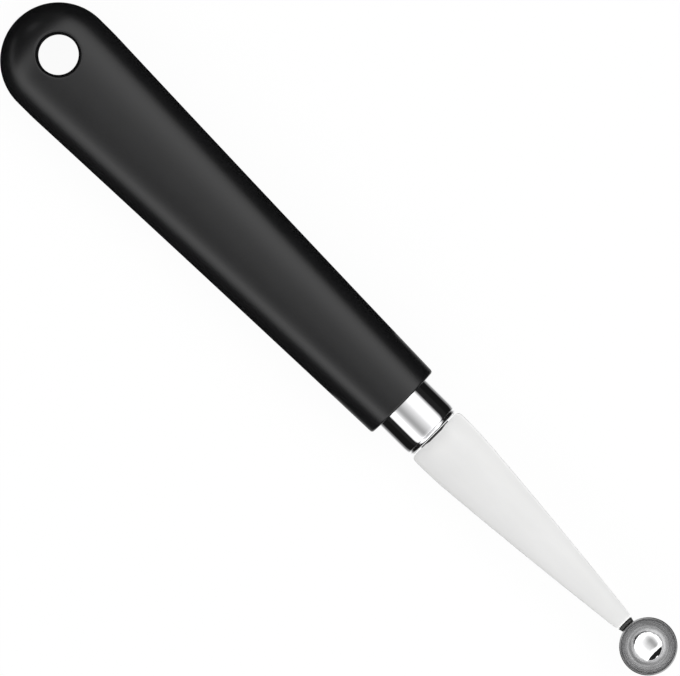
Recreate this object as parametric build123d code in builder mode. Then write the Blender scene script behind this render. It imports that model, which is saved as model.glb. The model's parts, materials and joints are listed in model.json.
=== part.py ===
from build123d import *
from math import sqrt
import os

# A small melon baller. X runs from the butt of the handle to the bowl, Z is up and
# the bowl opens upwards. The origin is on the surface that the tool lies on, under
# the middle of its length. All sizes are in millimetres.

# Handle
handle_length = 93.2
butt_width = 20.06
butt_thickness = 11.6
butt_parallel_length = 3.6
front_width = 14.74
front_thickness = 12.6
side_ease_share = 0.15
belly_flat_depth = 0.15
flank_radius_share = 0.85
taper_sections = 12
front_curve_radius = 150.0
front_edge_bevel = 0.42
hole_radius = 3.5
hole_rim_bevel = 0.5
hole_setback = 9.3
hole_side_offset = 0.72

# Ferrule, and the spigot of the handle that carries it
ferrule_radius = 5.53
ferrule_wall = 0.5
ferrule_reach = 7.5
ferrule_inset = 1.3
ferrule_end_wall = 0.8
nose_length = 1.9
nose_drop = 0.42
lip_bevel = 0.45
end_dish_depth = 0.22
end_dish_radius = 3.9
inset_clearance = 0.12
spigot_clearance = 0.05
spigot_end_gap = 0.5
spigot_bevel = 0.5

# Shank: one strip with a tapered blade, shoulders, a tang and a turned-down tip
strip_thickness = 1.3
blade_length = 46.2
blade_root_width = 11.3
blade_parallel_length = 1.5
blade_bend_length = 7.25
blade_bend_width = 10.69
blade_tip_width = 3.15
blade_crown_radius = 130.0
blade_edge_bevel = 0.15
shoulder_gap = 0.22
shoulder_corner_radius = 0.8
shoulder_relief_radius = 0.5
tip_inner_radius = 0.85
tab_depth = 2.8
tang_width = 6.4
tang_end_width = 4.6
tang_length = 46.0
tang_corner_radius = 1.5
tang_hole_radius = 1.4
tang_hole_setback = 8.0
tang_notch_depth = 0.7
tang_notch_length = 1.6
tang_notch_pitch = 6.0
tang_notch_pairs = 3
tang_clearance = 0.05
slot_clearance = 0.15

# Bowl, and the seam that holds it to the tip
bowl_radius = 5.0
bowl_inner_radius = 4.76
bowl_wall = 0.58
rim_land = 0.06
rim_bevel_height = 0.3
rim_rise = 0.25
seam_thickness = 0.22
seam_side_reach = 0.15
seam_back_reach = 0.3
seam_top_drop = 1.0
seam_bottom_lift = 0.3
seam_corner_radius = 0.1

# Every cut runs past its piece by this much
overrun = 2.0

# Places along X
tool_length = (
    handle_length + ferrule_reach + shoulder_gap + blade_length + seam_thickness + 2 * bowl_radius
)
butt_x = -tool_length / 2
butt_centre_x = butt_x + butt_width / 2
hole_x = butt_x + hole_setback
front_x = butt_x + handle_length
taper_start_x = butt_centre_x + butt_parallel_length
taper_length = front_x - taper_start_x
recess_floor_x = front_x - ferrule_inset
ferrule_end_x = front_x + ferrule_reach
spigot_end_x = ferrule_end_x - ferrule_end_wall - spigot_end_gap
shoulder_x = ferrule_end_x + shoulder_gap
tang_end_x = shoulder_x - tang_length
blade_end_x = shoulder_x + blade_length
bowl_x = blade_end_x + seam_thickness + bowl_radius

# Heights
axis_z = front_thickness / 2
strip_floor_z = axis_z - strip_thickness / 2
strip_top_z = axis_z + strip_thickness / 2
tab_foot_z = strip_top_z - tab_depth
rim_z = strip_top_z + rim_rise

# Sizes that fit one piece to another
ferrule_inner_radius = ferrule_radius - ferrule_wall
spigot_radius = ferrule_inner_radius - spigot_clearance
bowl_outer_radius = bowl_inner_radius + bowl_wall
tab_face_radius = bowl_radius + seam_thickness
tab_hug_depth = tab_face_radius - sqrt(tab_face_radius**2 - (blade_tip_width / 2) ** 2)
tip_outer_radius = tip_inner_radius + strip_thickness
tip_bend_x = blade_end_x + tab_hug_depth - tip_outer_radius

# The long axis through the ferrule, and the upright plane that holds it
long_axis = Axis((0, 0, axis_z), (1, 0, 0))
long_plane = Plane(origin=(0, 0, axis_z), x_dir=(1, 0, 0), z_dir=(0, -1, 0))
bowl_axis = Axis((bowl_x, 0, 0), (0, 0, 1))
bowl_plane = Plane(origin=(bowl_x, 0, rim_z), x_dir=(1, 0, 0), z_dir=(0, -1, 0))


def section_width(x):
    """The handle is parallel round the hole, then narrows to the front in a slightly hollow line."""
    run = max(0, x - taper_start_x) / taper_length
    return butt_width + (front_width - butt_width) * run * (1 + side_ease_share * (1 - run))


def section_thickness(x):
    """The back is level round the hole, then rises in an easing line over a straight belly."""
    run = max(0, x - taper_start_x) / taper_length
    return butt_thickness + (front_thickness - butt_thickness) * run**2


def section_plane(x):
    """The upright plane of the handle's section at x, with the section's centre as its origin."""
    centre_z = (section_thickness(x) - belly_flat_depth) / 2
    return Plane(origin=(x, 0, centre_z), x_dir=(0, 1, 0), z_dir=(1, 0, 0))


def oval_flank(x):
    """The +Y side of the flattened oval section at x: a crown arc, a flank arc and a belly arc."""
    half_width = section_width(x) / 2
    half_thickness = (section_thickness(x) + belly_flat_depth) / 2
    flank_radius = flank_radius_share * half_thickness
    crown_radius = (half_width**2 + half_thickness**2 - 2 * half_width * flank_radius) / (
        2 * (half_thickness - flank_radius)
    )
    flank_centre = Vector(half_width - flank_radius, 0)
    crown_centre = Vector(0, half_thickness - crown_radius)
    joint = flank_centre + flank_radius * (flank_centre - crown_centre).normalized()
    RadiusArc((0, half_thickness), joint, crown_radius)
    RadiusArc(joint, (joint.X, -joint.Y), flank_radius)
    RadiusArc((joint.X, -joint.Y), (0, -half_thickness), crown_radius)


def bowl_outside():
    """Outer profile of the bowl from the rim to the bottom: bevel, ground band and round."""
    band_foot = -sqrt(bowl_outer_radius**2 - bowl_radius**2)
    Polyline(
        (bowl_inner_radius + rim_land, 0),
        (bowl_radius, -rim_bevel_height),
        (bowl_radius, band_foot),
    )
    RadiusArc((bowl_radius, band_foot), (0, -bowl_outer_radius), bowl_outer_radius)


# The tang in plan: side notches and a hole that key it into the moulding
with BuildSketch() as tang_plan:
    with BuildLine():
        Polyline(
            (shoulder_x, -tang_width / 2),
            (shoulder_x, tang_width / 2),
            (shoulder_x - tang_length / 2, tang_width / 2),
            (tang_end_x, tang_end_width / 2),
            (tang_end_x, -tang_end_width / 2),
            (shoulder_x - tang_length / 2, -tang_width / 2),
            close=True,
        )
    make_face()
    fillet(tang_plan.vertices().group_by(Axis.X)[0], radius=tang_corner_radius)
    with Locations((tang_end_x + tang_hole_setback, 0)):
        Circle(tang_hole_radius, mode=Mode.SUBTRACT)
    for pair in range(1, tang_notch_pairs + 1):
        notch_x = recess_floor_x - pair * tang_notch_pitch
        with Locations((notch_x, tang_width / 2), (notch_x, -tang_width / 2)):
            Rectangle(tang_notch_length, 2 * tang_notch_depth, mode=Mode.SUBTRACT)

# Handle: rounded butt, long oval taper, curved front, spigot, tang cavity and hanging hole
with BuildPart() as handle:
    with BuildSketch(section_plane(butt_centre_x)):
        with BuildLine() as flank:
            oval_flank(butt_centre_x)
            Line(flank.line @ 1, flank.line @ 0)
        make_face()
    revolve(axis=Axis((butt_centre_x, 0, 0), (0, 0, 1)), revolution_arc=180)
    with BuildSketch(section_plane(butt_centre_x)):
        with BuildLine():
            oval_flank(butt_centre_x)
            mirror(about=Plane.YZ)
        make_face()
    extrude(amount=butt_parallel_length)
    section_pitch = (taper_length + overrun / 2) / (taper_sections - 1)
    for section in range(taper_sections):
        station = taper_start_x + section * section_pitch
        with BuildSketch(section_plane(station)):
            with BuildLine():
                oval_flank(station)
                mirror(about=Plane.YZ)
            make_face()
    loft(ruled=True)
    # The front is curved in plan, and what stands in front of the curve is cut off
    curve_edge_x = front_x - front_curve_radius + sqrt(front_curve_radius**2 - front_width**2)
    with BuildSketch(Plane.XY.offset(-overrun)):
        with BuildLine():
            RadiusArc((curve_edge_x, -front_width), (curve_edge_x, front_width), -front_curve_radius)
            Polyline(
                (curve_edge_x, front_width),
                (front_x + overrun, front_width),
                (front_x + overrun, -front_width),
                (curve_edge_x, -front_width),
            )
        make_face()
    extrude(amount=front_thickness + 2 * overrun, mode=Mode.SUBTRACT)
    front_face = handle.faces().sort_by(Axis.X)[-1]
    chamfer(front_face.edges(), length=front_edge_bevel)
    # The recess that takes the rear of the ferrule, round the spigot that fills it
    with BuildSketch(Plane.YZ.offset(recess_floor_x)):
        with Locations((0, axis_z)):
            Circle(ferrule_radius + inset_clearance)
    extrude(amount=ferrule_inset + overrun, mode=Mode.SUBTRACT)
    with BuildSketch(Plane.YZ.offset(recess_floor_x)):
        with Locations((0, axis_z)):
            Circle(spigot_radius)
    extrude(amount=spigot_end_x - recess_floor_x)
    chamfer(handle.edges(Select.LAST).sort_by(Axis.X)[-1], length=spigot_bevel)
    # The cavity moulded round the tang
    with BuildSketch(Plane.XY.offset(strip_floor_z - tang_clearance)):
        add(tang_plan.sketch)
        offset(amount=tang_clearance, kind=Kind.INTERSECTION)
    extrude(amount=strip_thickness + 2 * tang_clearance, mode=Mode.SUBTRACT)
    # The hanging hole, with both rims bevelled
    with Locations((hole_x, hole_side_offset, butt_thickness)):
        Hole(radius=hole_radius)
    rims = handle.edges(Select.LAST).filter_by(GeomType.LINE, reverse=True)
    chamfer(rims, length=hole_rim_bevel)
    # The belly is flattened where the tool lies on it
    split(bisect_by=Plane.XY)
handle.part.label = "handle"

# Ferrule: drawn cap with a rounded nose, a bevelled lip, a dished end and a slot
with BuildPart() as ferrule:
    nose_x = ferrule_end_x - nose_length
    lip_x = ferrule_end_x - lip_bevel
    lip_height = ferrule_radius - nose_drop
    end_floor_x = ferrule_end_x - ferrule_end_wall
    dish_radius = (end_dish_radius**2 + end_dish_depth**2) / (2 * end_dish_depth)
    with BuildSketch(long_plane):
        with BuildLine():
            Line((recess_floor_x, ferrule_radius), (nose_x, ferrule_radius))
            TangentArc((nose_x, ferrule_radius), (lip_x, lip_height), tangent=(1, 0))
            Polyline(
                (lip_x, lip_height),
                (ferrule_end_x, lip_height - lip_bevel),
                (ferrule_end_x, end_dish_radius),
            )
            RadiusArc(
                (ferrule_end_x, end_dish_radius), (ferrule_end_x - end_dish_depth, 0), -dish_radius
            )
            Polyline(
                (ferrule_end_x - end_dish_depth, 0),
                (end_floor_x, 0),
                (end_floor_x, ferrule_inner_radius - lip_bevel),
                (end_floor_x - lip_bevel, ferrule_inner_radius),
                (recess_floor_x, ferrule_inner_radius),
            )
            Line((recess_floor_x, ferrule_inner_radius), (recess_floor_x, ferrule_radius))
        make_face()
    revolve(axis=long_axis)
    with BuildSketch(Plane.YZ.offset(end_floor_x - overrun)):
        with Locations((0, axis_z)):
            Rectangle(tang_width + 2 * slot_clearance, strip_thickness + 2 * slot_clearance)
    extrude(amount=ferrule_end_wall + 2 * overrun, mode=Mode.SUBTRACT)
ferrule.part.label = "ferrule"

# Shank: the strip seen from the side, trimmed to its plan and crowned on top
with BuildPart() as shank:
    tab_x = tip_bend_x + tip_outer_radius
    with BuildSketch(long_plane):
        with BuildLine():
            Line((tang_end_x, strip_thickness / 2), (tip_bend_x, strip_thickness / 2))
            RadiusArc(
                (tip_bend_x, strip_thickness / 2),
                (tab_x, strip_thickness / 2 - tip_outer_radius),
                tip_outer_radius,
            )
            Polyline(
                (tab_x, strip_thickness / 2 - tip_outer_radius),
                (tab_x, tab_foot_z - axis_z),
                (tab_x - strip_thickness, tab_foot_z - axis_z),
                (tab_x - strip_thickness, -strip_thickness / 2 - tip_inner_radius),
            )
            RadiusArc(
                (tab_x - strip_thickness, -strip_thickness / 2 - tip_inner_radius),
                (tip_bend_x, -strip_thickness / 2),
                -tip_inner_radius,
            )
            Polyline(
                (tip_bend_x, -strip_thickness / 2),
                (tang_end_x, -strip_thickness / 2),
                (tang_end_x, strip_thickness / 2),
            )
        make_face()
    extrude(amount=blade_root_width / 2 + overrun, both=True)
    with BuildSketch(Plane.XY.offset(tab_foot_z - overrun)) as shank_plan:
        with BuildLine():
            root_end = Vector(shoulder_x + blade_parallel_length, blade_root_width / 2)
            bend_end = Vector(root_end.X + blade_bend_length, blade_bend_width / 2)
            blade_end = Vector(blade_end_x, blade_tip_width / 2)
            Polyline((shoulder_x, 0), (shoulder_x, blade_root_width / 2), root_end)
            bend = TangentArc(root_end, bend_end, tangent=(1, 0))
            side = TangentArc(bend_end, blade_end, tangent=bend % 1)
            tip = Line(side @ 1, side @ 1 + overrun * (side % 1))
            Line(tip @ 1, ((tip @ 1).X, 0))
            mirror(about=Plane.XZ)
        make_face()
        fillet(shank_plan.vertices().group_by(Axis.X)[0], radius=shoulder_corner_radius)
        relief_y = tang_width / 2 + shoulder_relief_radius
        with Locations((shoulder_x, relief_y), (shoulder_x, -relief_y)):
            Circle(shoulder_relief_radius, mode=Mode.SUBTRACT)
        add(tang_plan.sketch)
    extrude(amount=tab_depth + 2 * overrun, mode=Mode.INTERSECT)
    with BuildSketch(Plane.YZ.offset(tang_end_x - overrun)):
        with Locations((0, strip_top_z - blade_crown_radius)):
            Circle(blade_crown_radius)
    extrude(amount=tang_length + blade_length + 3 * overrun, mode=Mode.INTERSECT)
    with BuildSketch(Plane.XY.offset(tab_foot_z - overrun)):
        with Locations((bowl_x, 0)):
            Circle(tab_face_radius)
    extrude(amount=tab_depth + 2 * overrun, mode=Mode.SUBTRACT)
    long_edges = shank.edges().filter_by(lambda edge: edge.length > blade_length / 2)
    chamfer(long_edges.filter_by(lambda edge: edge.center().X > shoulder_x), length=blade_edge_bevel)
shank.part.label = "shank"

# Bowl: thin hemispherical cup, its rim ground from the outside
with BuildPart() as bowl:
    with BuildSketch(bowl_plane):
        with BuildLine():
            bowl_outside()
            Line((0, -bowl_outer_radius), (0, -bowl_inner_radius))
            RadiusArc((0, -bowl_inner_radius), (bowl_inner_radius, 0), -bowl_inner_radius)
            Line((bowl_inner_radius, 0), (bowl_inner_radius + rim_land, 0))
        make_face()
    revolve(axis=bowl_axis)
bowl.part.label = "bowl"

# Seam: the fill between the turned-down tip and the outside of the bowl
with BuildPart() as weld_seam:
    with BuildSketch(Plane.XY.offset(tab_foot_z + seam_bottom_lift)) as seam_plan:
        with Locations((bowl_x, 0)):
            Circle(tab_face_radius + seam_back_reach)
        with Locations((bowl_x - tab_face_radius, 0)):
            Rectangle(tab_face_radius, blade_tip_width + 2 * seam_side_reach, mode=Mode.INTERSECT)
        fillet(seam_plan.vertices().group_by(Axis.X)[0], radius=seam_corner_radius)
    extrude(amount=tab_depth - seam_bottom_lift - seam_top_drop)
    with BuildSketch(bowl_plane):
        with BuildLine():
            bowl_outside()
            Polyline((0, -bowl_outer_radius), (0, 0), (bowl_inner_radius + rim_land, 0))
        make_face()
    revolve(axis=bowl_axis, mode=Mode.SUBTRACT)
    add(shank.part, mode=Mode.SUBTRACT)
weld_seam.part.label = "weld_seam"

os.makedirs("parts", exist_ok=True)
for piece in (handle, ferrule, shank, bowl, weld_seam):
    export_step(piece.part, f"parts/{piece.part.label}.step")
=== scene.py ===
import json
import math

import bmesh
import bpy
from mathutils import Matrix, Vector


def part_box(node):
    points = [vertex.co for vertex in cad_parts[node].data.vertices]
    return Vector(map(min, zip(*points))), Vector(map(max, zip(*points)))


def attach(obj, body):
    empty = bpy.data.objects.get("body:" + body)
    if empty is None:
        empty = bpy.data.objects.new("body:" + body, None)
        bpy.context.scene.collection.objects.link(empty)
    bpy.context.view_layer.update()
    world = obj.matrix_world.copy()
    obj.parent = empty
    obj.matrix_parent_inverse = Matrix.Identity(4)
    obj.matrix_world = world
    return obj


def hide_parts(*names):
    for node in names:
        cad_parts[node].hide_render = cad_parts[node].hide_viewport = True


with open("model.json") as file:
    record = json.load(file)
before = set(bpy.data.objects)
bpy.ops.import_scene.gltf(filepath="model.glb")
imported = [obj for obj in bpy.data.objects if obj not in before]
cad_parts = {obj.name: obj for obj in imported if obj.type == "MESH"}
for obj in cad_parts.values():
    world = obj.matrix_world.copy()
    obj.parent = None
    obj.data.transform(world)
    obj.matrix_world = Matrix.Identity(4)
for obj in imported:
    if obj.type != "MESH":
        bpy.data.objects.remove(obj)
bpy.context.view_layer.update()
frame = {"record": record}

mm = 0.001


def box_mm(node):
    """Lowest and highest corner of a CAD node, in millimetres."""
    low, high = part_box(node)
    return [value / mm for value in low], [value / mm for value in high]


handle_low, handle_high = box_mm("handle")
ferrule_low, ferrule_high = box_mm("ferrule")
shank_low, shank_high = box_mm("shank")
bowl_low, bowl_high = box_mm("bowl")
weld_low = box_mm("weld_seam")[0]

# Camera: straight above the tool, turned as in the photograph
photo_width_px = 680
photo_scale_px_per_mm = 5.84
camera_turn_deg = 44.8
camera_x_mm = -0.985
camera_y_mm = 0.27
camera_lens_mm = 1000
sensor_width_mm = 36
view_plane_z_mm = 6.3
camera_clip_near = 0.05
camera_clip_far = 20

# Light tent, in metres and degrees: a long half tunnel, light and dark by its angle and its length
tent_radius = 0.9
tent_half_length = 2.6
tent_half_turn = 90
tent_facets = 96
tent_strength = 1.95
tent_dark_level = 0.01
tent_angle_soft = 2
# Panels at the sides, all along the tent: angle from straight up, positive on the +Y side, and level
tent_side_panels = (
    (-73, tent_dark_level), (-69, 0.62), (-62, 0.72), (-56, 1.1), (-47, 1.2), (-38, 0.95),
    (-20, 0.9), (20, 0.9), (36, 1.0), (46, 0.95), (52, 0.8), (58, 0.45), (66, tent_dark_level),
)
# The darker field round the camera, over the middle of the tool only
tent_camera_field = (
    (-73, tent_dark_level), (-69, 0.62), (-62, 0.72), (-56, 1.15), (-48, 1.2), (-43, 0.6),
    (-36, 0.4), (-29, 0.26), (-22, 0.24), (-14, 0.31), (-6, 0.4), (6, 0.52), (18, 0.75),
    (36, 1.05), (46, 0.95), (52, 0.8), (58, 0.45), (66, tent_dark_level),
)
tent_camera_butt_x = -0.24
tent_camera_butt_soft = 0.2
tent_camera_bowl_x = 0.24
tent_camera_fade_x = 0.6
tent_camera_fade_share = 0.65
tent_camera_far_x = 0.85
# Beyond the butt, a dark opening with one bright spot far behind it
tent_dark_near_x = -0.58
tent_dark_soft = 0.04
tent_dark_half_angle = 58
tent_spot_near_x = -1.3
tent_spot_far_x = -1.7
tent_spot_soft = 0.05
tent_spot_low_angle = 2
tent_spot_high_angle = 24
tent_white_end_x = 2.15
tent_white_soft = 0.05

# Black card on the floor round the tool, open in the middle, with a grey strip of painted floor shadow
# for reflections, and the floor, in metres
card_opening_half_width = 9.5 * mm
card_opening_end = 10.9 * mm
card_floor_shadow_level = 0.5
card_floor_shadow_end = 16 * mm
card_floor_shadow_range = 50 * mm
card_reach_x = 4.0
card_reach_y = 2.0
card_lift = 0.05 * mm
card_end_steps = 48
hole_card_radius = 5.5 * mm
floor_half_width = 4.0
floor_drop = 0.02 * mm
floor_tone = 0.95
floor_white_share = 0.95
world_fill = 0.2

# Handle: plan and section, in millimetres
butt_radius = handle_high[1]
butt_centre_x = handle_low[0] + butt_radius
butt_parallel_length = 3.6
taper_start_x = butt_centre_x + butt_parallel_length
ferrule_inset = 1.3
recess_floor_x = ferrule_low[0]
card_floor_shadow_start_x = (recess_floor_x - 8) * mm
front_x = recess_floor_x + ferrule_inset
taper_length = front_x - taper_start_x
front_width = 14.74
side_ease_share = 0.15
butt_thickness = 11.6
front_thickness = 12.6
belly_flat_depth = 0.15
section_power = 2.25
section_steps = 64
front_curve_radius = 150.0
front_edge_radius = 0.45
hole_radius = 3.5
hole_rim_width = 0.62
hole_rim_depth = 2.0
hole_x, hole_y = [value / mm for value in frame["record"]["mounts"][0]["pos_m"][:2]]
join_x = -61.0

# Axis of the ferrule and of the handle's spigot
axis_z = (ferrule_low[2] + ferrule_high[2]) / 2
recess_radius = 5.65
spigot_radius = 4.98
spigot_end_x = handle_high[0]
spigot_bevel = 0.5

# Ferrule
ferrule_radius = (ferrule_high[2] - ferrule_low[2]) / 2
ferrule_wall = 0.5
ferrule_end_wall = 0.8
ferrule_back_bevel = 0.08
ferrule_back_x = ferrule_low[0]
ferrule_end_x = ferrule_high[0]
nose_length = 1.9
nose_drop = 0.42
lip_radius = 0.62
groove_width = 0.42
groove_depth = 0.24
dish_radius = 3.9
dish_depth = 0.22
slot_half_width = 3.35
slot_half_height = 0.8

# Shank: blade, tang and turned-down tip
strip_thickness = 1.3
blade_top_z = shank_high[2]
blade_bottom_z = blade_top_z - strip_thickness
blade_crown_radius = 130.0
blade_edge_radius = 0.08
shoulder_gap = 0.22
shoulder_x = ferrule_end_x + shoulder_gap
shoulder_half_width = 5.65
shoulder_corner_radius = 0.8
blade_root_end_x = shoulder_x + 1.5
blade_bend_end_x = blade_root_end_x + 7.25
blade_bend_half_width = 5.345
blade_end_x = shoulder_x + 46.2
blade_tip_half_width = 1.575
tip_inner_radius = 0.85
tip_outer_radius = tip_inner_radius + strip_thickness
tip_bend_power = 9
tip_corner_radius = 0.5
tip_corner_share = 0.98
tab_foot_z = shank_low[2]
tab_face_radius = 5.78
tang_end_x = shank_low[0]
tang_half_width = 3.2
tang_end_half_width = 2.3
tang_clearance = 0.05

# Bowl
bowl_axis_x = (bowl_low[0] + bowl_high[0]) / 2
bowl_radius = (bowl_high[0] - bowl_low[0]) / 2
bowl_inner_radius = 4.76
bowl_ring_steps = 192
rim_z = bowl_high[2]
bowl_outer_sphere = rim_z - bowl_low[2]
rim_land = 0.06
rim_bevel_height = 0.3
rim_bevel_shares = (0.1, 0.5, 0.9, 1.0)
tip_end_x = bowl_axis_x - tab_face_radius
tip_bend_x = (
    bowl_axis_x - math.sqrt(tab_face_radius ** 2 - blade_tip_half_width ** 2) - tip_outer_radius
)

# Weld bead. Each ripple has its size, how often it comes and its shift
weld_half_width = 1.4
weld_low_z = weld_low[2]
weld_high_z = 6.75
weld_into_bowl = 0.02
weld_into_tab = 0.04
weld_section_power = 3.2
weld_end_power = 6
weld_end_height_share = 0.15
weld_ripples = ((0.035, 23, 0), (0.02, 41, 1))
weld_sharp_deg = 60

# Finishes: linear tones, roughness, noise scales per metre, and depths in metres
plastic_ior = 1.46
plastic_tones = ((0.005, 0.005, 0.0055), (0.0075, 0.0075, 0.008))
plastic_roughness = (0.26, 0.34)
plastic_cloud_scale = 220
plastic_rub_scale = 60
plastic_rub_stretch = (0.4, 1, 1)
plastic_grain_scale = 5200
plastic_grain_depth = 0.004 * mm

mirror_tones = ((0.76, 0.76, 0.77), (0.8, 0.8, 0.81))
mirror_roughness = (0.04, 0.08)
mirror_cloud_scale = 500
mirror_line_scale = 9000
mirror_line_stretch = (1, 0.02, 0.02)
mirror_line_depth = 0.00015 * mm

satin_black = (0.0, 0.0, 0.0)
satin_white = (1.0, 1.0, 0.995)
satin_tone = (0.74, 0.82)
satin_roughness = (0.38, 0.48)
satin_cloud_scale = 300
satin_cloud_stretch = (0.3, 1, 1)
satin_grain_scale = 6000
satin_grain_stretch = (0.03, 1, 1)
satin_grain_depth = 0.0015 * mm
# Painted shade towards the blade's long edges: where it starts, as a share of the half width, and the
# tone at the edge
satin_edge_shade_start = 0.45
satin_edge_shade_share = 0.94
# Painted shade in the gap where the strip leaves the ferrule, with its tone as a share and its lengths
# in millimetres. It reaches further along the blade in the middle of the blade's width
gap_shade_share = 0.05
gap_shade_back = 0.05
gap_shade_front = 0.04
gap_shade_middle_half_width = 1.3
gap_shade_middle_fade = 1.4
gap_shade_middle_reach = 0.2

# Bowl tones: its own bright steel in the middle, and the dark end of the painted shade on the wall
bowl_tones_with_wall_shade = ((0.8, 0.8, 0.805), (0.1, 0.1, 0.1))
bowl_wall_start_share = 0.58
bowl_wall_end_share = 0.78
bowl_line_scale = 4200
bowl_line_low = 0.35
bowl_line_high = 0.65
bowl_streak_shade = (0.72, 0.3)
bowl_wall_roughness = (0.2, 0.34)
bowl_bright_roughness = 0.05
bowl_dent_scale = 650
bowl_dent_share = 9.0
bowl_relief_depth = 0.004 * mm

weld_tones = ((0.04, 0.04, 0.04), (0.11, 0.11, 0.108))
weld_roughness = (0.4, 0.6)
weld_ripple_scale = 2600
weld_ripple_depth = 0.03 * mm


def math_node(tree, operation, *values):
    """A Math node with its inputs linked or set."""
    node = tree.nodes.new("ShaderNodeMath")
    node.operation = operation
    for socket, value in zip(node.inputs, values):
        if isinstance(value, (int, float)):
            socket.default_value = value
        else:
            tree.links.new(value, socket)
    return node.outputs[0]


def spread(tree, value, to_range, from_range=(0.0, 1.0), smooth=False):
    """A value taken from one range to another, and held at its ends outside it."""
    node = tree.nodes.new("ShaderNodeMapRange")
    if smooth:
        node.interpolation_type = "SMOOTHSTEP"
    node.inputs["From Min"].default_value, node.inputs["From Max"].default_value = from_range
    node.inputs["To Min"].default_value, node.inputs["To Max"].default_value = to_range
    tree.links.new(value, node.inputs["Value"])
    return node.outputs["Result"]


def axes_of(tree, vector):
    """X, Y and Z of a vector."""
    split = tree.nodes.new("ShaderNodeSeparateXYZ")
    tree.links.new(vector, split.inputs[0])
    return split.outputs["X"], split.outputs["Y"], split.outputs["Z"]


def noise(tree, scale, detail, stretch=(1, 1, 1)):
    """Noise in object coordinates, with its own stretch along each axis."""
    place = tree.nodes.new("ShaderNodeTexCoord")
    mapping = tree.nodes.new("ShaderNodeMapping")
    mapping.inputs["Scale"].default_value = stretch
    tree.links.new(place.outputs["Object"], mapping.inputs["Vector"])
    return noise_over(tree, mapping.outputs["Vector"], scale, detail)


def noise_over(tree, vector, scale, detail):
    """Noise over given coordinates."""
    texture = tree.nodes.new("ShaderNodeTexNoise")
    texture.inputs["Scale"].default_value = scale
    texture.inputs["Detail"].default_value = detail
    tree.links.new(vector, texture.inputs["Vector"])
    return texture.outputs["Fac"]


def bump(tree, shader, height, distance):
    """A bump of the given depth in metres on the shader's normal."""
    node = tree.nodes.new("ShaderNodeBump")
    node.inputs["Distance"].default_value = distance
    tree.links.new(height, node.inputs["Height"])
    tree.links.new(node.outputs["Normal"], shader.inputs["Normal"])


def base_colour(tree, shader, value, first, second):
    """Base colour that goes from a first tone to a second one."""
    mix = tree.nodes.new("ShaderNodeMix")
    mix.data_type = "RGBA"
    mix.inputs["A"].default_value = (*first, 1)
    mix.inputs["B"].default_value = (*second, 1)
    tree.links.new(value, mix.inputs["Factor"])
    tree.links.new(mix.outputs["Result"], shader.inputs["Base Color"])


def new_material(name, metallic=0.0):
    """A node material with its Principled shader."""
    material = bpy.data.materials.new(name)
    material.use_nodes = True
    shader = material.node_tree.nodes["Principled BSDF"]
    shader.inputs["Metallic"].default_value = metallic
    return material, material.node_tree, shader


def plastic_material():
    """Black moulded plastic: fine satin grain, slightly uneven gloss, a few rubbed places."""
    material, tree, shader = new_material("black_plastic")
    shader.inputs["IOR"].default_value = plastic_ior
    cloud = noise(tree, plastic_cloud_scale, 4)
    base_colour(tree, shader, cloud, *plastic_tones)
    rubbed = noise(tree, plastic_rub_scale, 3, plastic_rub_stretch)
    gloss = math_node(tree, "ADD", math_node(tree, "MULTIPLY", cloud, 0.5),
                      math_node(tree, "MULTIPLY", rubbed, 0.5))
    tree.links.new(spread(tree, gloss, plastic_roughness), shader.inputs["Roughness"])
    bump(tree, shader, noise(tree, plastic_grain_scale, 3), plastic_grain_depth)
    return material


def ferrule_steel():
    """Mirror-polished steel with faint polishing lines round the sleeve."""
    material, tree, shader = new_material("polished_steel", 1.0)
    lines = noise(tree, mirror_line_scale, 2, mirror_line_stretch)
    base_colour(tree, shader, noise(tree, mirror_cloud_scale, 3), *mirror_tones)
    tree.links.new(spread(tree, lines, mirror_roughness), shader.inputs["Roughness"])
    bump(tree, shader, lines, mirror_line_depth)
    return material


def blade_steel():
    """Satin steel, ground lengthwise, with painted shade towards its long edges and painted shade in
    the gap beside the ferrule.
    """
    material, tree, shader = new_material("satin_steel", 1.0)
    grain = noise(tree, satin_grain_scale, 4, satin_grain_stretch)
    cloud = noise(tree, satin_cloud_scale, 3, satin_cloud_stretch)
    place = tree.nodes.new("ShaderNodeTexCoord")
    along, across, _ = axes_of(tree, place.outputs["Object"])
    fade_end = gap_shade_middle_half_width + gap_shade_middle_fade
    middle = spread(tree, math_node(tree, "ABSOLUTE", across), (-gap_shade_middle_reach * mm, 0.0),
                    (gap_shade_middle_half_width * mm, fade_end * mm), smooth=True)
    # Painted shade: the tone darkens in the gap where the strip leaves the ferrule
    gap_shade = spread(tree, math_node(tree, "ADD", along, middle), (gap_shade_share, 1.0),
                  ((shoulder_x - gap_shade_back) * mm, (shoulder_x + gap_shade_front) * mm))
    # Painted shade: the tone falls off towards the blade's long edges
    nearness = tree.nodes.new("ShaderNodeAttribute")
    nearness.attribute_name = "edge_nearness"
    edge = spread(tree, nearness.outputs["Fac"], (1.0, satin_edge_shade_share), (satin_edge_shade_start, 1.0),
                  smooth=True)
    tone = math_node(tree, "MULTIPLY", spread(tree, cloud, satin_tone), gap_shade)
    tone = math_node(tree, "MULTIPLY", tone, edge)
    base_colour(tree, shader, tone, satin_black, satin_white)
    tree.links.new(spread(tree, grain, satin_roughness), shader.inputs["Roughness"])
    bump(tree, shader, grain, satin_grain_depth)
    return material


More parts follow.
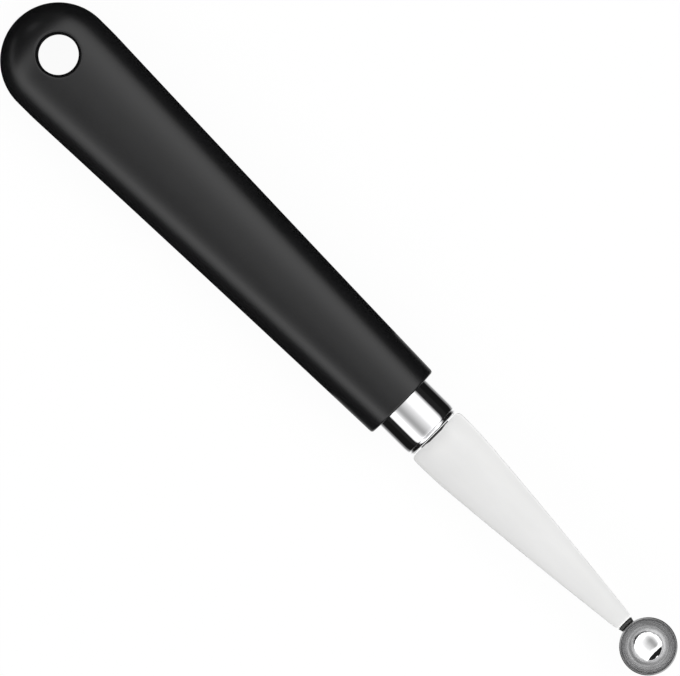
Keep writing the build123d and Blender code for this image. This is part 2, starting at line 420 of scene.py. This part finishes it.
def bowl_steel():
    """Bowl: bright pressed middle, finely turned round its wall, where painted shade darkens the tone
    unevenly along the turned lines.
    """
    material, tree, shader = new_material("bowl_steel", 1.0)
    place = tree.nodes.new("ShaderNodeTexCoord")
    x, y, z = axes_of(tree, place.outputs["Object"])
    along = math_node(tree, "SUBTRACT", x, bowl_axis_x * mm)
    square = math_node(tree, "ADD", math_node(tree, "MULTIPLY", along, along),
                       math_node(tree, "MULTIPLY", y, y))
    reach = math_node(tree, "SQRT", square)
    wall_start, wall_end = (
        bowl_inner_radius * share * mm for share in (bowl_wall_start_share, bowl_wall_end_share)
    )
    wall = spread(tree, reach, (0.0, 1.0), (wall_start, wall_end), smooth=True)
    ring = tree.nodes.new("ShaderNodeCombineXYZ")
    tree.links.new(reach, ring.inputs["X"])
    tree.links.new(z, ring.inputs["Y"])
    lines = noise_over(tree, ring.outputs[0], bowl_line_scale, 3)
    line = spread(tree, lines, (0.0, 1.0), (bowl_line_low, bowl_line_high))
    # Painted shade on the wall, uneven along the turned lines
    shade = math_node(tree, "MULTIPLY", spread(tree, line, bowl_streak_shade), wall)
    base_colour(tree, shader, shade, *bowl_tones_with_wall_shade)
    extra = math_node(tree, "SUBTRACT", spread(tree, line, bowl_wall_roughness),
                      bowl_bright_roughness)
    rough = math_node(tree, "ADD", math_node(tree, "MULTIPLY", extra, wall), bowl_bright_roughness)
    tree.links.new(rough, shader.inputs["Roughness"])
    height = math_node(tree, "MULTIPLY", line, wall)
    dents = math_node(tree, "MULTIPLY", noise(tree, bowl_dent_scale, 2), bowl_dent_share)
    bump(tree, shader, math_node(tree, "ADD", height, dents), bowl_relief_depth)
    return material


def weld_steel():
    """Weld bead: dull, darkened by heat, with a rippled skin."""
    material, tree, shader = new_material("weld_steel", 1.0)
    ripple = noise(tree, weld_ripple_scale, 4)
    base_colour(tree, shader, ripple, *weld_tones)
    tree.links.new(spread(tree, ripple, weld_roughness), shader.inputs["Roughness"])
    bump(tree, shader, ripple, weld_ripple_depth)
    return material


def stage_material(name):
    """An empty node material, and the socket that its surface goes to."""
    material = bpy.data.materials.new(name)
    material.use_nodes = True
    tree = material.node_tree
    tree.nodes.clear()
    output = tree.nodes.new("ShaderNodeOutputMaterial")
    return material, tree, output.inputs["Surface"]


def world_axes(tree):
    """X, Y and Z of a surface's place in the scene."""
    return axes_of(tree, tree.nodes.new("ShaderNodeNewGeometry").outputs["Position"])


def seen_or_mirrored(tree):
    """1 for camera, glossy and transmission rays, and 0 for all others."""
    path = tree.nodes.new("ShaderNodeLightPath")
    seen = math_node(tree, "ADD", path.outputs["Is Camera Ray"], path.outputs["Is Glossy Ray"])
    seen = math_node(tree, "ADD", seen, path.outputs["Is Transmission Ray"])
    return math_node(tree, "MINIMUM", seen, 1.0)


def ramp_of(tree, value, stops, half_range):
    """A colour ramp over a value that runs from -half_range to half_range."""
    share = math_node(tree, "ADD", math_node(tree, "DIVIDE", value, 2 * half_range), 0.5)
    ramp = tree.nodes.new("ShaderNodeValToRGB")
    while len(ramp.color_ramp.elements) < len(stops):
        ramp.color_ramp.elements.new(0.5)
    for element, (place, level) in zip(ramp.color_ramp.elements, stops):
        element.position = place / (2 * half_range) + 0.5
        element.color = (level, level, level, 1)
    tree.links.new(share, ramp.inputs["Fac"])
    return ramp.outputs["Color"]


def tent_material():
    """Light of the tent by its angle from straight up, and its place along the tool."""
    material, tree, surface = stage_material("light_tent")
    along, across, up = world_axes(tree)
    radians = math_node(tree, "ARCTAN2", across, up)
    angle = math_node(tree, "MULTIPLY", radians, math.degrees(1))

    def by_angle(stops):
        return ramp_of(tree, angle, stops, tent_half_turn)

    def by_length(stops):
        return ramp_of(tree, along, stops, tent_half_length)

    panels = tree.nodes.new("ShaderNodeMix")
    panels.data_type = "RGBA"
    tree.links.new(by_length((
        (tent_camera_butt_x - tent_camera_butt_soft, 0.0), (tent_camera_butt_x, 1.0),
        (tent_camera_bowl_x, 1.0), (tent_camera_fade_x, tent_camera_fade_share),
        (tent_camera_far_x, 0.0),
    )), panels.inputs["Factor"])
    tree.links.new(by_angle(tent_side_panels), panels.inputs["A"])
    tree.links.new(by_angle(tent_camera_field), panels.inputs["B"])
    opening = math_node(tree, "MULTIPLY", by_length((
        (tent_dark_near_x - tent_dark_soft, 1.0), (tent_dark_near_x, 0.0),
    )), by_angle((
        (-tent_dark_half_angle - tent_angle_soft, 0.0), (-tent_dark_half_angle, 1.0),
        (tent_dark_half_angle, 1.0), (tent_dark_half_angle + tent_angle_soft, 0.0),
    )))
    spot = math_node(tree, "MULTIPLY", by_length((
        (tent_spot_far_x - tent_spot_soft, 0.0), (tent_spot_far_x, 1.0),
        (tent_spot_near_x - tent_spot_soft, 1.0), (tent_spot_near_x, 0.0),
    )), by_angle((
        (tent_spot_low_angle - tent_angle_soft, 0.0), (tent_spot_low_angle, 1.0),
        (tent_spot_high_angle, 1.0), (tent_spot_high_angle + tent_angle_soft, 0.0),
    )))
    closed = math_node(tree, "MAXIMUM", math_node(tree, "SUBTRACT", 1.0, opening), spot)
    end = by_length((
        (tent_white_end_x, 1.0), (tent_white_end_x + tent_white_soft, tent_dark_level),
    ))
    lit = math_node(tree, "MAXIMUM", math_node(tree, "MULTIPLY", closed, end), tent_dark_level)
    emission = tree.nodes.new("ShaderNodeEmission")
    tree.links.new(panels.outputs["Result"], emission.inputs["Color"])
    tree.links.new(math_node(tree, "MULTIPLY", lit, tent_strength), emission.inputs["Strength"])
    tree.links.new(emission.outputs[0], surface)
    return material


def floor_material():
    """Pale floor: white to the camera and in reflections, with a share that keeps the shadow."""
    material, tree, surface = stage_material("pale_floor")
    diffuse = tree.nodes.new("ShaderNodeBsdfDiffuse")
    diffuse.inputs["Color"].default_value = (floor_tone, floor_tone, floor_tone, 1)
    white = tree.nodes.new("ShaderNodeEmission")
    white.inputs["Color"].default_value = (1, 1, 1, 1)
    mix = tree.nodes.new("ShaderNodeMixShader")
    share = math_node(tree, "MULTIPLY", seen_or_mirrored(tree), floor_white_share)
    tree.links.new(share, mix.inputs["Fac"])
    tree.links.new(diffuse.outputs[0], mix.inputs[1])
    tree.links.new(white.outputs[0], mix.inputs[2])
    tree.links.new(mix.outputs[0], surface)
    return material


def card_material():
    """Black card with a grey strip along its opening, from just before the ferrule on, which is a
    painted shadow of the floor seen only in reflections.
    """
    material, tree, surface = stage_material("black_card")
    along, across, _ = world_axes(tree)
    # Painted shadow: grey strip beside the opening, where the floor lies in the tool's shadow
    strip = ramp_of(tree, math_node(tree, "ABSOLUTE", across), (
        (card_opening_half_width, card_floor_shadow_level), (card_floor_shadow_end, tent_dark_level),
    ), card_floor_shadow_range)
    past_start = math_node(tree, "GREATER_THAN", along, card_floor_shadow_start_x)
    level = math_node(tree, "MULTIPLY", strip, past_start)
    emission = tree.nodes.new("ShaderNodeEmission")
    tree.links.new(math_node(tree, "MAXIMUM", level, tent_dark_level), emission.inputs["Strength"])
    tree.links.new(emission.outputs[0], surface)
    return material


def mesh_object(name, points, faces, material):
    """A mesh object in the frame, in metres."""
    mesh = bpy.data.meshes.new(name)
    mesh.from_pydata(points, [], faces)
    mesh.materials.append(material)
    made = bpy.data.objects.new(name, mesh)
    bpy.context.scene.collection.objects.link(made)
    return made


def only_mirrored(item):
    """Hides an object from all but reflections."""
    item.visible_camera = False
    item.visible_diffuse = False
    item.visible_shadow = False
    return item


def make_floor_card(card):
    """Black card round the tool, with an opening that is round at the butt."""
    inner = [(card_reach_x, card_opening_half_width)]
    outer = [(card_reach_x, card_reach_y)]
    for k in range(card_end_steps + 1):
        angle = math.pi / 2 + math.pi * k / card_end_steps
        c, s = math.cos(angle), math.sin(angle)
        inner.append((butt_centre_x * mm + card_opening_end * c, card_opening_half_width * s))
        outer.append((butt_centre_x * mm + card_reach_x * c, card_reach_y * s))
    inner.append((card_reach_x, -card_opening_half_width))
    outer.append((card_reach_x, -card_reach_y))
    points = [(x, y, card_lift) for x, y in inner + outer]
    count = len(inner)
    faces = [(k, k + 1, count + k + 1, count + k) for k in range(count - 1)]
    return only_mirrored(mesh_object("floor_card", points, faces, card))


def make_hole_card(card):
    """Small disc of the same card under the hanging hole."""
    points = []
    for k in range(card_end_steps):
        angle = 2 * math.pi * k / card_end_steps
        points.append((hole_x * mm + hole_card_radius * math.cos(angle),
                       hole_y * mm + hole_card_radius * math.sin(angle), card_lift))
    return only_mirrored(mesh_object("hole_card", points, [tuple(range(len(points)))], card))


def make_studio():
    """Floor, tent and cards, none of them part of the object."""
    half, level = floor_half_width, -floor_drop
    floor = mesh_object(
        "floor",
        [(-half, -half, level), (half, -half, level), (half, half, level), (-half, half, level)],
        [(0, 1, 2, 3)],
        floor_material(),
    )
    points = []
    for step in range(tent_facets + 1):
        angle = math.pi * (step / tent_facets - 0.5)
        across, up = tent_radius * math.sin(angle), tent_radius * math.cos(angle)
        points += [(-tent_half_length, across, up), (tent_half_length, across, up)]
    faces = [(2 * k, 2 * k + 1, 2 * k + 3, 2 * k + 2) for k in range(tent_facets)]
    tent = mesh_object("light_tent", points, faces, tent_material())
    card = card_material()
    walls = []
    for name, first in (("tent_end_butt", 0), ("tent_end_bowl", 1)):
        rim = points[first::2]
        walls.append(mesh_object(name, rim, [tuple(range(len(rim)))], card))
    for item in (tent, *walls):
        item.visible_camera = False
        item.visible_shadow = False
    make_floor_card(card)
    make_hole_card(card)


def make_world():
    """White to the camera and in reflections, and a weak fill for everything else."""
    world = bpy.data.worlds.new("studio")
    world.use_nodes = True
    bpy.context.scene.world = world
    tree = world.node_tree
    background = tree.nodes["Background"]
    background.inputs["Color"].default_value = (1, 1, 1, 1)
    level = math_node(tree, "MAXIMUM", seen_or_mirrored(tree), world_fill)
    tree.links.new(level, background.inputs["Strength"])


def make_camera():
    """Camera straight above, far enough away to be almost without perspective."""
    data = bpy.data.cameras.new("camera")
    data.lens = camera_lens_mm
    data.sensor_width = sensor_width_mm
    data.clip_start = camera_clip_near
    data.clip_end = camera_clip_far
    width_mm = photo_width_px / photo_scale_px_per_mm
    distance_mm = width_mm * camera_lens_mm / sensor_width_mm
    camera = bpy.data.objects.new("camera", data)
    camera.location = (camera_x_mm * mm, camera_y_mm * mm, (view_plane_z_mm + distance_mm) * mm)
    camera.rotation_euler = (0, 0, math.radians(camera_turn_deg))
    bpy.context.scene.collection.objects.link(camera)
    bpy.context.scene.camera = camera


# Points that agree to this many decimals of a millimetre are one point
point_decimals = 5


class Shape:
    """Points and faces of one closed mesh, in millimetres, where equal points are one point."""

    def __init__(self):
        self.points = []
        self.faces = []
        self.known = {}

    def point(self, place):
        """The index of a point, which is added if it is new."""
        key = tuple(round(value, point_decimals) for value in place)
        if key not in self.known:
            self.known[key] = len(self.points)
            self.points.append(tuple(place))
        return self.known[key]

    def face(self, places):
        """A face, unless too few of its corners differ."""
        corners = []
        for place in places:
            index = self.point(place)
            if index not in corners:
                corners.append(index)
        if len(corners) > 2:
            self.faces.append(corners)

    def rows(self, rows, closed=True):
        """Quads between neighbouring rows of as many points each."""
        for row, following in zip(rows, rows[1:]):
            count = len(row)
            for k in range(count if closed else count - 1):
                after = (k + 1) % count
                self.face([row[k], row[after], following[after], following[k]])

    def fan(self, row, centre):
        """Triangles from a closed row to one point."""
        for k, place in enumerate(row):
            self.face([place, row[(k + 1) % len(row)], centre])

    def make(self, name, node, material, sharp_deg=35):
        """The finished object, which stands for its CAD node."""
        mesh = bpy.data.meshes.new(name)
        scaled = [[value * mm for value in place] for place in self.points]
        mesh.from_pydata(scaled, [], self.faces)
        work = bmesh.new()
        work.from_mesh(mesh)
        bmesh.ops.recalc_face_normals(work, faces=work.faces)
        work.to_mesh(mesh)
        work.free()
        mesh.materials.append(material)
        mesh.shade_smooth()
        mesh.set_sharp_from_angle(angle=math.radians(sharp_deg))
        piece = bpy.data.objects.new(name, mesh)
        bpy.context.scene.collection.objects.link(piece)
        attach(piece, "root")
        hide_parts(node)
        return piece


def between(start, end, share):
    """The point at a share of the way from one point to another."""
    return tuple(a + (b - a) * share for a, b in zip(start, end))


def signed_power(value, power):
    """A power that keeps the sign of its value."""
    return math.copysign(abs(value) ** power, value)


def handle_section(x):
    """Half width, middle height and half height of the handle at a place along it."""
    run = min(max((x - taper_start_x) / taper_length, 0), 1)
    narrowing = (2 * butt_radius - front_width) * run * (1 + side_ease_share * (1 - run))
    thickness = butt_thickness + (front_thickness - butt_thickness) * run ** 2
    middle = (thickness - belly_flat_depth) / 2
    return butt_radius - narrowing / 2, middle, (thickness + belly_flat_depth) / 2


def handle_height(x, y, side):
    """Height of the handle's top (side 1) or belly (side -1) over a place in plan."""
    half_width, middle, half_height = handle_section(x)
    reach = math.hypot(min(x - butt_centre_x, 0), y)
    share = min(reach / half_width, 1)
    rise = half_height * (1 - share ** section_power) ** (1 / section_power)
    return max(middle + side * rise, 0)


def section_shares(steps):
    """Places round a section, from the +Y side over the top and back below, as shares of its halves."""
    power = 2 / section_power
    angles = [math.pi * k / steps for k in range(2 * steps)]
    return [(signed_power(math.cos(a), power), signed_power(math.sin(a), power)) for a in angles]


def handle_front_x(y):
    """The front face, slightly rounded in plan."""
    return front_x - front_curve_radius + math.sqrt(front_curve_radius ** 2 - y ** 2)


def handle_loop(x, inset=0, setback=0):
    """One section of the handle, bent to the curve of the front as it comes near it."""
    nearness = (x - join_x) / (front_x - join_x)
    half_width, middle, half_height = handle_section(x)
    loop = []
    for across, up in section_shares(section_steps):
        y = (half_width - inset) * across
        z = max(middle + (half_height - inset) * up, 0)
        loop.append((x - (front_x - handle_front_x(y)) * nearness ** 2 - setback, y, z))
    return loop


def butt_outline():
    """Plan points of the butt's edge, from the -Y side of the join round to its +Y side."""
    side_steps, round_steps = 12, 72
    outline = []
    for k in range(side_steps):
        x = join_x + (butt_centre_x - join_x) * k / side_steps
        outline.append((x, -handle_section(x)[0]))
    for k in range(round_steps):
        angle = -math.pi / 2 - math.pi * k / round_steps
        outline.append((butt_centre_x + butt_radius * math.cos(angle),
                        butt_radius * math.sin(angle)))
    for k in range(side_steps + 1):
        x = butt_centre_x + (join_x - butt_centre_x) * k / side_steps
        outline.append((x, handle_section(x)[0]))
    return outline


def butt_ray(x, y, side):
    """Points of the butt from the hole's bore over its rounded rim to the edge at x, y."""
    patch_steps, rim_steps = 30, 8
    rim_reach = hole_radius + hole_rim_width
    probe = 0.01
    reach = math.hypot(x - hole_x, y - hole_y)
    dx, dy = (x - hole_x) / reach, (y - hole_y) / reach

    def surface(radius):
        px, py = hole_x + dx * radius, hole_y + dy * radius
        return px, py, handle_height(px, py, side)

    start_z = surface(rim_reach)[2]
    slope = (surface(rim_reach + probe)[2] - start_z) / probe
    ray = []
    for k in range(rim_steps):
        angle = math.pi / 2 * k / rim_steps
        radius = hole_radius + hole_rim_width * (1 - math.cos(angle))
        over = start_z + slope * (radius - rim_reach)
        z = over - side * hole_rim_depth * (1 - math.sin(angle))
        ray.append((hole_x + dx * radius, hole_y + dy * radius, z))
    for k in range(patch_steps):
        share = math.sin(math.pi / 2 * k / patch_steps)
        ray.append(surface(rim_reach + (reach - rim_reach) * share))
    ray.append((x, y, handle_height(x, y, side)))
    return ray


def add_butt(shape):
    """The butt with its hanging hole, top and belly, as rays from the hole to the edge."""
    half_width = handle_section(join_x)[0]
    power = 2 / section_power
    join = [half_width * signed_power(math.cos(math.pi * k / section_steps), power)
            for k in range(1, section_steps)]
    edge = butt_outline() + [(join_x, y) for y in join]
    bore_rows = []
    for side in (1, -1):
        rays = [butt_ray(x, y, side) for x, y in edge]
        shape.rows(rays + rays[:1], closed=False)
        bore_rows.append([ray[0] for ray in rays])
    top, belly = bore_rows
    middle = [between(a, b, 0.5) for a, b in zip(top, belly)]
    shape.rows([top, middle, belly])


def circle_at(angles, x, radius):
    """A circle about the tool's axis, at the given angles."""
    return [(x, radius * math.cos(a), axis_z + radius * math.sin(a)) for a in angles]


def rectangle_at(angles, x, half_width, half_height, middle_z):
    """A rectangle about the tool's axis, met at the given angles, with true corners."""
    loop = []
    for angle in angles:
        c, s = math.cos(angle), math.sin(angle)
        reach = min(half_width / max(abs(c), 1e-9), half_height / max(abs(s), 1e-9))
        loop.append([x, reach * c, middle_z + reach * s])
    for side_y in (1, -1):
        for side_z in (1, -1):
            corner = math.atan2(side_z * half_height, side_y * half_width)
            nearest = min(
                range(len(angles)),
                key=lambda k: abs(math.remainder(angles[k] - corner, 2 * math.pi)),
            )
            loop[nearest] = [x, side_y * half_width, middle_z + side_z * half_height]
    return [tuple(place) for place in loop]


def make_handle():
    """Moulded handle: butt and hole, tapered grip, round front edge, recess, spigot and pocket."""
    shape = Shape()
    add_butt(shape)
    grip_steps, edge_steps, face_steps = 56, 7, 4
    grip_end_x = front_x - front_edge_radius
    loops = []
    for k in range(grip_steps + 1):
        loops.append(handle_loop(join_x + (grip_end_x - join_x) * k / grip_steps))
    for k in range(1, edge_steps + 1):
        angle = math.pi / 2 * k / edge_steps
        inset = front_edge_radius * (1 - math.cos(angle))
        setback = front_edge_radius * (1 - math.sin(angle))
        loops.append(handle_loop(front_x, inset, setback))
    edge = loops[-1]
    angles = [math.atan2(z - axis_z, y) for x, y, z in edge]
    recess = [(handle_front_x(y), y, z) for x, y, z in circle_at(angles, 0, recess_radius)]
    for k in range(1, face_steps):
        loops.append([between(a, b, k / face_steps) for a, b in zip(edge, recess)])
    loops.append(recess)
    loops.append(circle_at(angles, recess_floor_x, recess_radius))
    loops.append(circle_at(angles, recess_floor_x, spigot_radius))
    loops.append(circle_at(angles, spigot_end_x - spigot_bevel, spigot_radius))
    loops.append(circle_at(angles, spigot_end_x, spigot_radius - spigot_bevel))
    pocket_end_x = tang_end_x - tang_clearance
    pocket_middle_z = blade_bottom_z + strip_thickness / 2
    pocket_half_height = strip_thickness / 2 + tang_clearance
    for x, half_width in ((spigot_end_x, tang_half_width), (pocket_end_x, tang_end_half_width)):
        loops.append(rectangle_at(angles, x, half_width + tang_clearance, pocket_half_height,
                                  pocket_middle_z))
    shape.rows(loops)
    shape.fan(loops[-1], (pocket_end_x, 0, pocket_middle_z))
    shape.make("handle_moulding", "handle", plastic_material())


def ferrule_profile():
    """Outside of the ferrule from its back edge to its end: wall, nose, groove and round lip."""
    wall_steps, nose_steps, lip_steps = 8, 30, 10
    nose_x = ferrule_end_x - nose_length
    nose_radius = (nose_length ** 2 + nose_drop ** 2) / (2 * nose_drop)
    profile = [
        (ferrule_back_x, ferrule_radius - ferrule_back_bevel),
        (ferrule_back_x + ferrule_back_bevel, ferrule_radius),
    ]
    for k in range(1, wall_steps):
        profile.append((ferrule_back_x + (nose_x - ferrule_back_x) * k / wall_steps,
                        ferrule_radius))
    lip_centre_x = ferrule_end_x - lip_radius
    lip_start = math.asin((lip_centre_x - nose_x) / (nose_radius - lip_radius))
    groove_start_x = nose_x + nose_radius * math.sin(lip_start) - groove_width
    for k in range(nose_steps + 1):
        angle = lip_start * k / nose_steps
        x = nose_x + nose_radius * math.sin(angle)
        into_groove = max(x - groove_start_x, 0) / groove_width
        dip = groove_depth * (1 - math.cos(2 * math.pi * into_groove)) / 2
        profile.append((x, ferrule_radius - nose_radius * (1 - math.cos(angle)) - dip))
    lip_centre_r = ferrule_radius - nose_radius + (nose_radius - lip_radius) * math.cos(lip_start)
    for k in range(1, lip_steps + 1):
        angle = lip_start + (math.pi / 2 - lip_start) * k / lip_steps
        profile.append((lip_centre_x + lip_radius * math.sin(angle),
                        lip_centre_r + lip_radius * math.cos(angle)))
    profile.append((ferrule_end_x, dish_radius))
    return profile


def make_ferrule():
    """Polished ferrule: sleeve with a drawn-in nose, and a dished end with the tang's slot."""
    ring_steps, dish_steps = 256, 8
    angles = [2 * math.pi * k / ring_steps for k in range(ring_steps)]
    loops = [circle_at(angles, x, radius) for x, radius in ferrule_profile()]

    def dish_x(y, z):
        return ferrule_end_x - dish_depth * (1 - (y ** 2 + (z - axis_z) ** 2) / dish_radius ** 2)

    outer = loops[-1]
    slot = rectangle_at(angles, 0, slot_half_width, slot_half_height, axis_z)
    for k in range(1, dish_steps + 1):
        flat = [between(a, b, k / dish_steps) for a, b in zip(outer, slot)]
        loops.append([(dish_x(y, z), y, z) for x, y, z in flat])
    inside_x = ferrule_end_x - ferrule_end_wall
    inner_radius = ferrule_radius - ferrule_wall
    loops.append([(inside_x, y, z) for x, y, z in slot])
    loops.append(circle_at(angles, inside_x, inner_radius))
    loops.append(circle_at(angles, ferrule_back_x, inner_radius))
    loops.append(loops[0])
    shape = Shape()
    shape.rows(loops)
    shape.make("ferrule_sleeve", "ferrule", ferrule_steel())


def blade_half_width(x):
    """Half width of the blade: round shoulder, straight root, bend, bowed taper, round tip corner."""
    if x < shoulder_x + shoulder_corner_radius:
        back = shoulder_x + shoulder_corner_radius - x
        corner = math.sqrt(max(shoulder_corner_radius ** 2 - back ** 2, 0))
        return shoulder_half_width - shoulder_corner_radius + corner
    if x < blade_root_end_x:
        return shoulder_half_width
    length = blade_bend_end_x - blade_root_end_x
    drop = shoulder_half_width - blade_bend_half_width
    if x < blade_bend_end_x:
        radius = (length ** 2 + drop ** 2) / (2 * drop)
        return shoulder_half_width - radius + math.sqrt(radius ** 2 - (x - blade_root_end_x) ** 2)
    start_slope = -math.tan(2 * math.atan(drop / length))
    run = min(x, blade_end_x) - blade_bend_end_x
    whole = blade_end_x - blade_bend_end_x
    bow = (blade_tip_half_width - blade_bend_half_width - start_slope * whole) / whole ** 2
    half_width = blade_bend_half_width + start_slope * run + bow * run ** 2
    into_corner = max(x - (tip_end_x - tip_corner_radius), 0)
    into_corner = min(into_corner, tip_corner_radius * tip_corner_share)
    return half_width - tip_corner_radius + math.sqrt(tip_corner_radius ** 2 - into_corner ** 2)


def strip_section(half_width, crown):
    """Loop of places across the strip and heights above its belly, with softened long edges."""
    top_steps, edge_steps = 24, 4
    radius = blade_edge_radius
    flat = half_width - radius
    points = []
    for k in range(top_steps + 1):
        y = flat * (1 - 2 * k / top_steps)
        points.append((y, strip_thickness - crown * y ** 2 / (2 * blade_crown_radius)))
    edge_top = strip_thickness - crown * flat ** 2 / (2 * blade_crown_radius)
    turns = [math.pi / 2 * k / edge_steps for k in range(edge_steps + 1)]
    for angle in turns[1:]:
        points.append((-flat - radius * math.sin(angle), edge_top - radius * (1 - math.cos(angle))))
    for angle in turns[:-1]:
        points.append((-flat - radius * math.cos(angle), radius * (1 - math.sin(angle))))
    for k in range(top_steps + 1):
        points.append((flat * (2 * k / top_steps - 1), 0))
    for angle in turns[1:]:
        points.append((flat + radius * math.sin(angle), radius * (1 - math.cos(angle))))
    for angle in turns[:-1]:
        points.append((flat + radius * math.cos(angle), edge_top - radius * (1 - math.sin(angle))))
    return points


def blade_stations():
    """Places along the blade from its shoulders to the bend of its tip."""
    corner_steps, root_steps, taper_steps = 14, 18, 72
    stations = []
    for k in range(corner_steps):
        angle = math.pi / 2 * k / corner_steps
        stations.append(shoulder_x + shoulder_corner_radius * (1 - math.cos(angle)))
    corner_end = shoulder_x + shoulder_corner_radius
    for k in range(root_steps):
        stations.append(corner_end + (blade_bend_end_x - corner_end) * k / root_steps)
    for k in range(taper_steps + 1):
        stations.append(blade_bend_end_x + (tip_bend_x - blade_bend_end_x) * k / taper_steps)
    return stations


def off_bowl(x, y, z):
    """A point of the tip, kept off the bowl by the tab's hollow face."""
    face_x = bowl_axis_x - math.sqrt(tab_face_radius ** 2 - min(abs(y), tab_face_radius) ** 2)
    return min(x, face_x), y, z


def make_shank():
    """Satin shank in one piece: tang, crowned tapered blade and the tip turned down to the bowl."""
    tang_steps, bend_steps, tab_steps = 12, 24, 3
    shape = Shape()
    loops = []
    for k in range(tang_steps + 1):
        share = k / tang_steps
        half_width = tang_end_half_width + (tang_half_width - tang_end_half_width) * share
        x = tang_end_x + (shoulder_x - tang_end_x) * share
        loops.append([(x, y, blade_bottom_z + z) for y, z in strip_section(half_width, 0)])
    for x in blade_stations():
        section = strip_section(blade_half_width(x), 1)
        loops.append([(x, y, blade_bottom_z + z) for y, z in section])
    bend_z = blade_bottom_z - tip_inner_radius
    power = 2 / tip_bend_power
    for k in range(1, bend_steps + 1):
        angle = math.pi / 2 * k / bend_steps
        inner = (tip_inner_radius * math.sin(angle), tip_inner_radius * math.cos(angle))
        outer = (tip_outer_radius * signed_power(math.sin(angle), power),
                 tip_outer_radius * signed_power(math.cos(angle), power))
        loop = []
        for y, z in strip_section(blade_half_width(tip_bend_x + outer[0]), 1):
            along, up = between(inner, outer, z / strip_thickness)
            loop.append(off_bowl(tip_bend_x + along, y, bend_z + up))
        loops.append(loop)
    for k in range(1, tab_steps + 1):
        height = bend_z + (tab_foot_z - bend_z) * k / tab_steps
        loops.append([(x, y, height) for x, y, z in loops[-1]])
    shape.rows(loops)
    shape.fan(loops[0], (tang_end_x, 0, blade_bottom_z + strip_thickness / 2))
    foot = loops[-1]
    middle_x = sum(x for x, y, z in foot) / len(foot)
    shape.fan(foot, (middle_x, 0, tab_foot_z))
    piece = shape.make("shank_blade", "shank", blade_steel())
    # Nearness to the long edges, used by the blade's painted edge shade
    nearness = piece.data.attributes.new("edge_nearness", "FLOAT", "POINT")
    for vertex, item in zip(piece.data.vertices, nearness.data):
        x, y = vertex.co.x / mm, vertex.co.y / mm
        item.value = min(abs(y) / blade_half_width(max(x, shoulder_x)), 1)


def bowl_ring(radius, z):
    """A ring about the bowl's upright axis."""
    turns = [2 * math.pi * k / bowl_ring_steps for k in range(bowl_ring_steps)]
    return [(bowl_axis_x + radius * math.cos(a), radius * math.sin(a), z) for a in turns]


def make_bowl():
    """Hemispherical bowl with a ground cutting rim, a short straight band and a round back."""
    sphere_steps = 56
    profile = []
    for k in range(1, sphere_steps + 1):
        angle = math.pi / 2 * k / sphere_steps
        profile.append((bowl_inner_radius * math.sin(angle),
                        rim_z - bowl_inner_radius * math.cos(angle)))
    land_radius = bowl_inner_radius + rim_land
    profile.append((land_radius, rim_z))
    for share in rim_bevel_shares:
        profile.append((land_radius + (bowl_radius - land_radius) * share,
                        rim_z - rim_bevel_height * share))
    band_end = math.asin(bowl_radius / bowl_outer_sphere)
    band_z = rim_z - bowl_outer_sphere * math.cos(band_end)
    profile.append((bowl_radius, (rim_z - rim_bevel_height + band_z) / 2))
    for k in range(sphere_steps):
        angle = band_end * (1 - k / sphere_steps)
        profile.append((bowl_outer_sphere * math.sin(angle),
                        rim_z - bowl_outer_sphere * math.cos(angle)))
    rings = [bowl_ring(radius, z) for radius, z in profile]
    shape = Shape()
    shape.rows(rings)
    shape.fan(rings[0], (bowl_axis_x, 0, rim_z - bowl_inner_radius))
    shape.fan(rings[-1], (bowl_axis_x, 0, rim_z - bowl_outer_sphere))
    shape.make("bowl_dish", "bowl", bowl_steel())


def make_weld():
    """Weld bead between the tab and the bowl's band, uneven as laid by hand."""
    across_steps, round_steps = 40, 20
    inner, outer = bowl_radius - weld_into_bowl, tab_face_radius + weld_into_tab
    middle_radius, half_thickness = (inner + outer) / 2, (outer - inner) / 2
    half_angle = math.asin(weld_half_width / middle_radius)
    middle_z, half_height = (weld_low_z + weld_high_z) / 2, (weld_high_z - weld_low_z) / 2
    power = 2 / weld_section_power
    loops = []
    for k in range(across_steps + 1):
        share = 2 * k / across_steps - 1
        ripple = sum(size * math.sin(pitch * share + shift) for size, pitch, shift in weld_ripples)
        swell = math.sqrt(1 - abs(share) ** weld_end_power) * (1 + ripple)
        height = half_height * max(swell, weld_end_height_share)
        turn = math.pi + half_angle * share
        loop = []
        for j in range(round_steps):
            angle = 2 * math.pi * j / round_steps
            radius = middle_radius + half_thickness * signed_power(math.cos(angle), power)
            z = middle_z + height * signed_power(math.sin(angle), power)
            loop.append((bowl_axis_x + radius * math.cos(turn), radius * math.sin(turn), z))
        loops.append(loop)
    shape = Shape()
    shape.rows(loops)
    for loop in (loops[0], loops[-1]):
        shape.fan(loop, tuple(sum(values) / len(loop) for values in zip(*loop)))
    shape.make("weld_bead", "weld_seam", weld_steel(), weld_sharp_deg)


make_studio()
make_world()
make_camera()
make_handle()
make_ferrule()
make_shank()
make_bowl()
make_weld()

bpy.context.scene.view_settings.view_transform = "Standard"
